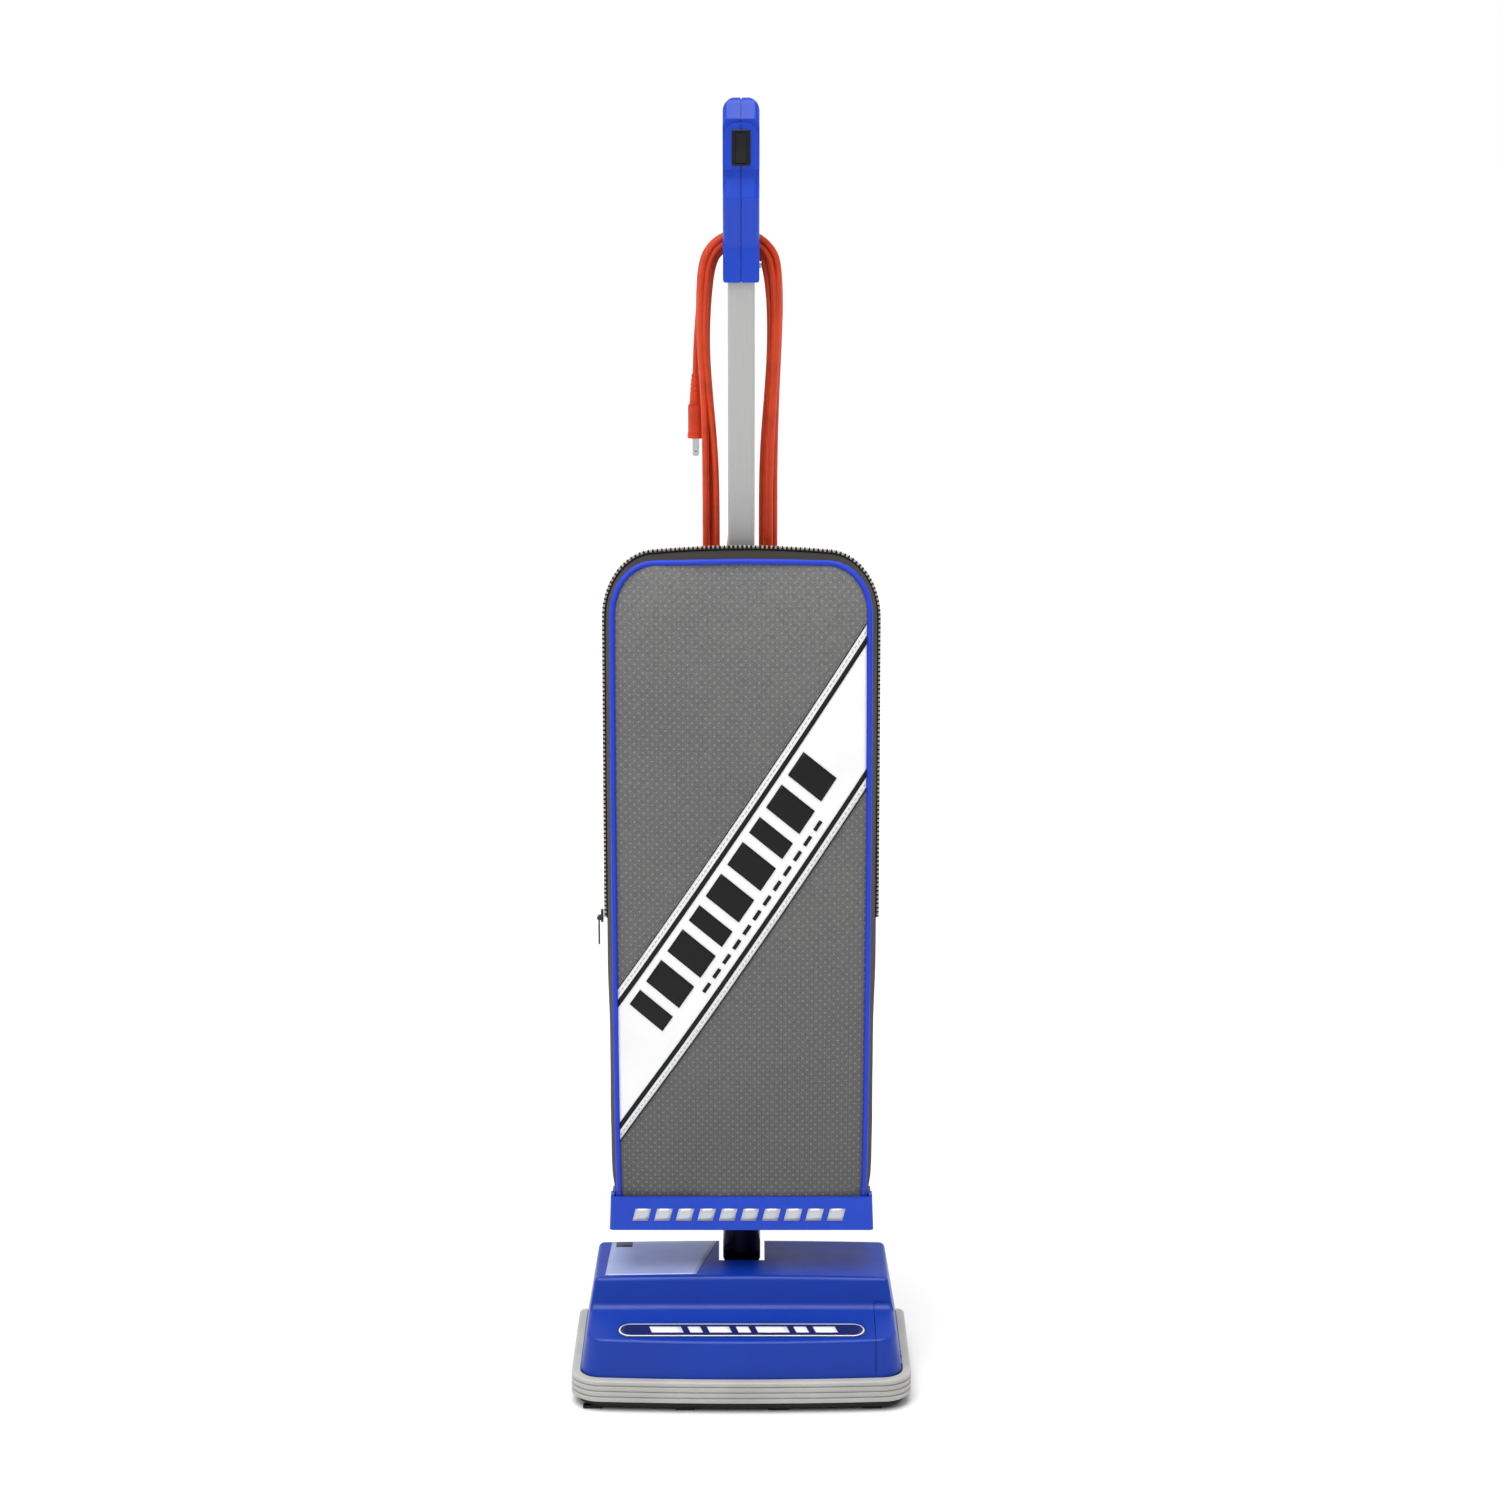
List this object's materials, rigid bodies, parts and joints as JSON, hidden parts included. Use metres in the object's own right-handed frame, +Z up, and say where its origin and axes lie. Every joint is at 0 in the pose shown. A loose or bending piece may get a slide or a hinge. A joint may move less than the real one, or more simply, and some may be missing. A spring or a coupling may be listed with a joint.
{
  "type": "upright vacuum cleaner",
  "caption": "Low upright vacuum cleaner with a tilting handle, a cloth dust bag, a belt-driven brush roll, rear wheels, a loop grip with a rocker switch, and a cord wound on two hooks.",
  "frame": {"origin": "on the floor, under the middle of the machine's overall width and depth", "axes": "+Z up, -Y the nozzle's front, +X to the right seen from the front"},
  "size_m": [0.324, 0.266, 1.2198],
  "materials": {
    "blue_shell": "moulded, semi-gloss",
    "black_moulding": "moulded, glossy",
    "bumper_rubber": "satin, moulded",
    "glide_plastic": "low-friction moulding",
    "steel": "zinc plated",
    "pulley_metal": "turned",
    "bristle": "nylon tufts",
    "roller_wood": "lacquered hardwood",
    "belt_rubber": "flat belt",
    "motor_case": "pressed steel",
    "fan_plastic": "moulded",
    "capacitor_plastic": "resin",
    "wire_insulation": "smooth",
    "wheel_plastic": "moulded",
    "wheel_tyre": "soft",
    "bag_cloth": "woven, dotted",
    "bag_paper": "filter paper",
    "zip_trim": "coil zip and tape",
    "tube_metal": "anodised",
    "switch_plastic": "moulded",
    "cord_jacket": "smooth vinyl",
    "plug_plastic": "moulded vinyl",
    "blade_brass": "stamped"
  },
  "bodies": {
    "base": {"hood": "blue_shell", "door_hinge_pins": "steel", "bumper": "bumper_rubber", "chassis": "black_moulding", "base_plate": "black_moulding", "guard_bars": "steel", "glides": "glide_plastic", "hood_screws": "steel", "roller_bearings": "glide_plastic", "edge_brushes": "bristle", "drive_belt": "belt_rubber", "motor_housing": "motor_case", "motor_field": "steel", "fan_housing": "black_moulding", "shaft_bearing": "steel", "duct_seal": "belt_rubber", "motor_capacitor": "capacitor_plastic", "base_wire": "wire_insulation", "pivot_bush_left": "fan_plastic", "pivot_bush_right": "fan_plastic", "wheel_axles": "steel"},
    "belt_door": {"belt_door": "blue_shell"},
    "left_latch": {"plate_latch_left": "glide_plastic"},
    "right_latch": {"plate_latch_right": "glide_plastic"},
    "brush_roll": {"brush_roller": "roller_wood", "brush_bristles": "bristle"},
    "motor_rotor": {"motor_armature": "steel", "motor_pulley": "pulley_metal", "suction_fan": "fan_plastic"},
    "left_wheel": {"wheel_left": "wheel_plastic", "tyre_left": "wheel_tyre"},
    "right_wheel": {"wheel_right": "wheel_plastic", "tyre_right": "wheel_tyre"},
    "handle": {"swivel_neck": "black_moulding", "bag_tray": "blue_shell", "dust_bag": "bag_cloth", "fill_tube": "black_moulding", "paper_bag": "bag_paper", "paper_bag_collar": "bag_paper", "zipper": "zip_trim", "bag_clip": "black_moulding", "handle_tube": "tube_metal", "neck_screws": "steel", "hook_bracket": "black_moulding", "cord_hook_upper": "black_moulding", "grip_left": "blue_shell", "grip_right": "blue_shell", "grip_screws": "steel", "switch_body": "switch_plastic", "strain_relief": "cord_jacket", "cord_lead": "cord_jacket", "cord_hank": "cord_jacket", "cord_tail": "cord_jacket", "plug_body": "plug_plastic", "plug_blades": "blade_brass", "handle_wire": "wire_insulation"},
    "lower_hook": {"cord_hook_lower": "black_moulding"},
    "rocker": {"power_rocker": "switch_plastic"},
    "slider": {"zip_slider": "black_moulding"},
    "pull_tab": {"zip_pull": "zip_trim"}
  },
  "joints": [
    {"name": "handle_tilt", "type": "hinge", "parent": "base", "child": "handle", "pos_m": [0, 0.025, 0.07], "axis": [-1, 0, 0], "range_deg": [0, 80]},
    {"name": "door_swing", "type": "hinge", "parent": "base", "child": "belt_door", "pos_m": [0.1521, -0.082, 0.0346], "axis": [0, 1, 0], "range_deg": [0, 70]},
    {"name": "latch_turn_left", "type": "hinge", "parent": "base", "child": "left_latch", "pos_m": [-0.084, 0.013, 0.008], "axis": [0, 0, 1], "range_deg": [0, 90]},
    {"name": "latch_turn_right", "type": "hinge", "parent": "base", "child": "right_latch", "pos_m": [0.066, 0.035, 0.008], "axis": [0, 0, 1], "range_deg": [0, 90]},
    {"name": "motor_spin", "type": "hinge", "parent": "base", "child": "motor_rotor", "pos_m": [0, -0.021, 0.059], "axis": [1, 0, 0], "continuous": true},
    {"name": "brush_spin", "type": "hinge", "parent": "base", "child": "brush_roll", "pos_m": [0, -0.088, 0.026], "axis": [1, 0, 0], "continuous": true},
    {"name": "wheel_spin_left", "type": "hinge", "parent": "base", "child": "left_wheel", "pos_m": [-0.116, 0.057, 0.024], "axis": [1, 0, 0], "continuous": true},
    {"name": "wheel_spin_right", "type": "hinge", "parent": "base", "child": "right_wheel", "pos_m": [0.116, 0.057, 0.024], "axis": [1, 0, 0], "continuous": true},
    {"name": "hook_swivel", "type": "hinge", "parent": "handle", "child": "lower_hook", "pos_m": [0, 0.072, 0.5385], "axis": [0, 1, 0], "range_deg": [0, 180]},
    {"name": "rocker_tilt", "type": "hinge", "parent": "handle", "child": "rocker", "pos_m": [0, 0.0215, 1.1747], "axis": [1, 0, 0], "range_deg": [0, 9]},
    {"name": "zip_slide", "type": "slide", "parent": "handle", "child": "slider", "axis": [0, 0, 1], "range_m": [0, 0.28]},
    {"name": "pull_swing", "type": "hinge", "parent": "slider", "child": "pull_tab", "pos_m": [-0.1371, 0.017, 0.446], "axis": [0, 1, 0], "range_deg": [0, 150]}
  ],
  "couplings": [
    {"joint": "brush_spin", "follows": "motor_spin", "ratio": 0.4098}
  ]
}
